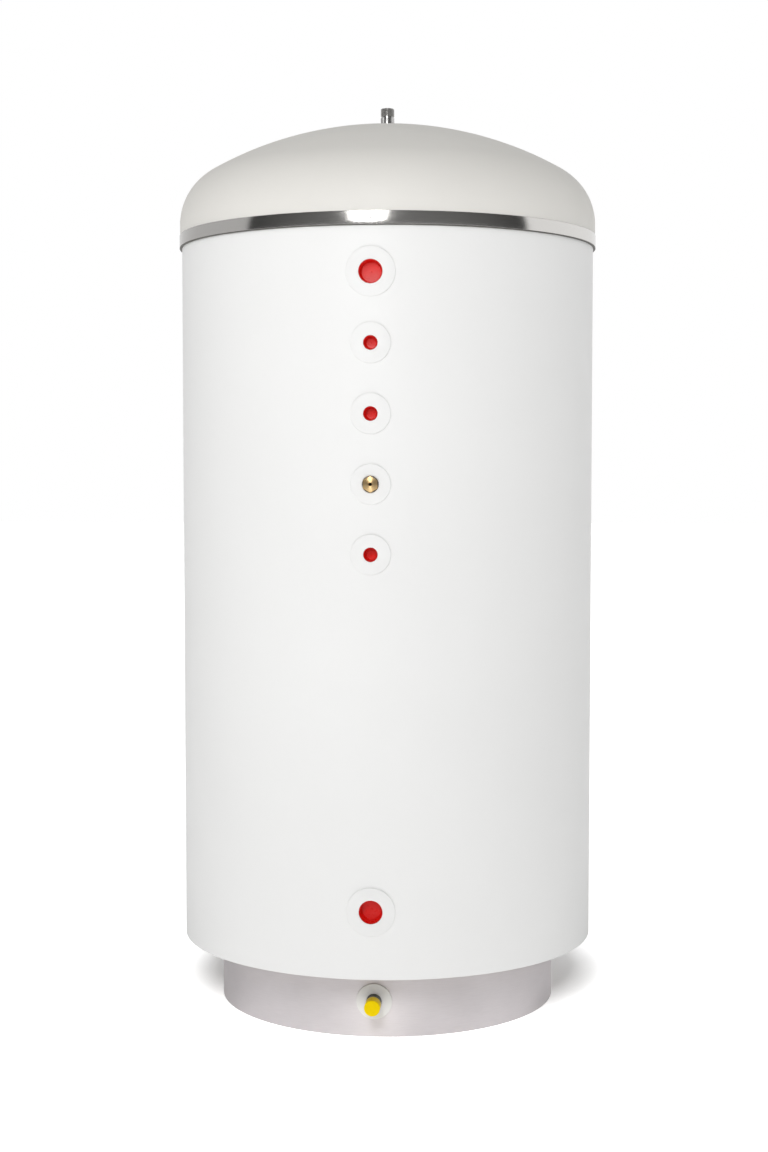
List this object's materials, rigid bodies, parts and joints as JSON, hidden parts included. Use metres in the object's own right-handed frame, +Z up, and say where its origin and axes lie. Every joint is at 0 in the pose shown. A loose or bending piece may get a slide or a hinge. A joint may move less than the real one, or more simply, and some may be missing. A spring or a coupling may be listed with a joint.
{
  "type": "solar hot water storage cylinder",
  "caption": "Upright insulated hot-water storage cylinder of a solar water heater, with a domed lid, a front line of plugged pipe ports, a sensor pocket, a capped drain and a steel base ring.",
  "frame": {"origin": "centre of the base ring on the floor", "axes": "+Z up along the cylinder, ports and drain facing -Y, +X to the right seen from the front"},
  "size_m": [1.0119, 1.016, 2.1718],
  "materials": {
    "white_jacket": "satin",
    "white_plastic": "satin",
    "grey_dome": "satin",
    "polished_band": "polished",
    "polished_nipple": "satin",
    "brushed_stainless": "satin",
    "stainless_vessel": "satin",
    "steel_fitting": "satin",
    "turned_brass": "polished",
    "red_plastic": "gloss",
    "yellow_plastic": "gloss",
    "dark_edging": "matte",
    "dark_rubber": "matte",
    "fibre_seal": "matte",
    "rigid_foam": "matte"
  },
  "bodies": {
    "cylinder": {"base_skirt": "brushed_stainless", "vessel_bottom_head": "stainless_vessel", "vessel_shell": "stainless_vessel", "vessel_top_head": "stainless_vessel", "foam_body": "rigid_foam", "foam_top": "rigid_foam", "outer_jacket": "white_jacket", "jacket_seam_strip": "white_jacket", "rim_ring": "dark_edging", "dome_cover": "grey_dome", "trim_band": "polished_band", "band_rivets": "polished_band", "top_nipple": "polished_nipple", "nipple_grommet": "dark_rubber", "hot_outlet_boss": "steel_fitting", "circulation_boss": "steel_fitting", "coil_flow_boss": "steel_fitting", "sensor_boss": "steel_fitting", "coil_return_boss": "steel_fitting", "cold_inlet_boss": "steel_fitting", "hot_outlet_rosette": "white_plastic", "circulation_rosette": "white_plastic", "coil_flow_rosette": "white_plastic", "sensor_rosette": "white_plastic", "coil_return_rosette": "white_plastic", "cold_inlet_rosette": "white_plastic", "drain_rosette": "white_plastic", "sensor_pocket": "turned_brass", "sensor_washer": "fibre_seal", "heating_coil": "stainless_vessel", "coil_supports": "stainless_vessel", "inlet_diffuser": "stainless_vessel", "drain_elbow": "steel_fitting", "drain_pipe": "steel_fitting", "drain_nipple": "steel_fitting"},
    "hot_outlet_plug": {"hot_outlet_plug": "red_plastic"},
    "circulation_plug": {"circulation_plug": "red_plastic"},
    "coil_flow_plug": {"coil_flow_plug": "red_plastic"},
    "coil_return_plug": {"coil_return_plug": "red_plastic"},
    "cold_inlet_plug": {"cold_inlet_plug": "red_plastic"},
    "drain_cap": {"drain_cap": "yellow_plastic"}
  },
  "joints": [
    {"name": "hot_outlet_plug_pull", "type": "slide", "parent": "cylinder", "child": "hot_outlet_plug", "axis": [0, -1, 0], "range_m": [0, 0.15]},
    {"name": "circulation_plug_pull", "type": "slide", "parent": "cylinder", "child": "circulation_plug", "axis": [0, -1, 0], "range_m": [0, 0.15]},
    {"name": "coil_flow_plug_pull", "type": "slide", "parent": "cylinder", "child": "coil_flow_plug", "axis": [0, -1, 0], "range_m": [0, 0.15]},
    {"name": "coil_return_plug_pull", "type": "slide", "parent": "cylinder", "child": "coil_return_plug", "axis": [0, -1, 0], "range_m": [0, 0.15]},
    {"name": "cold_inlet_plug_pull", "type": "slide", "parent": "cylinder", "child": "cold_inlet_plug", "axis": [0, -1, 0], "range_m": [0, 0.15]},
    {"name": "drain_cap_pull", "type": "slide", "parent": "cylinder", "child": "drain_cap", "axis": [0, -1, 0], "range_m": [0, 0.15]}
  ]
}
